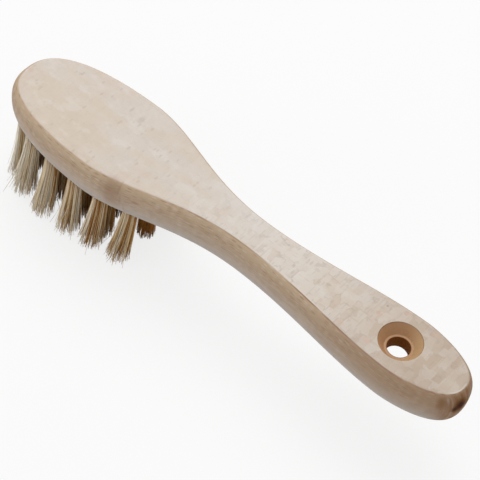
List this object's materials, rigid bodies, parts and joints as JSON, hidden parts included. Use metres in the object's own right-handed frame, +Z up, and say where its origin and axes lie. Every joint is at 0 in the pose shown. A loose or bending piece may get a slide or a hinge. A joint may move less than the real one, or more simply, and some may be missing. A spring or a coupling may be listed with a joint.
{
  "type": "vegetable brush",
  "caption": "Hand-held vegetable brush: flat beech block with an egg-shaped head, slim neck and rounded handle with a countersunk hang hole, and flared tufts of natural bristle.",
  "frame": {"origin": "centre of the bounding box on the plane of the trimmed bristle tips", "axes": "+X along the length from the head to the handle end, +Y across the head, +Z up from the bristle tips to the flat top face"},
  "size_m": [0.195, 0.0457, 0.04],
  "materials": {
    "beech": "bare sanded beech, pale and matt, with fine ray flecks and darker end grain",
    "bristle": "natural bristle, blond to grey-beige, with a slight sheen",
    "anchor_wire": "bright drawn flat wire"
  },
  "bodies": {
    "root": {"handle_block": "beech", "wire_anchors": "anchor_wire", "tuft_row1_1": "bristle", "tuft_row1_2": "bristle", "tuft_row1_3": "bristle", "tuft_row1_4": "bristle", "tuft_row1_5": "bristle", "tuft_row2_1": "bristle", "tuft_row2_2": "bristle", "tuft_row2_3": "bristle", "tuft_row2_4": "bristle", "tuft_row2_5": "bristle", "tuft_row3_1": "bristle", "tuft_row3_2": "bristle", "tuft_row3_3": "bristle", "tuft_row3_4": "bristle", "tuft_row3_5": "bristle", "tuft_row3_6": "bristle", "tuft_row4_1": "bristle", "tuft_row4_2": "bristle", "tuft_row4_3": "bristle", "tuft_row4_4": "bristle", "tuft_row4_5": "bristle", "tuft_row5_1": "bristle", "tuft_row5_2": "bristle", "tuft_row5_3": "bristle", "tuft_row5_4": "bristle", "tuft_row5_5": "bristle"}
  },
  "joints": []
}
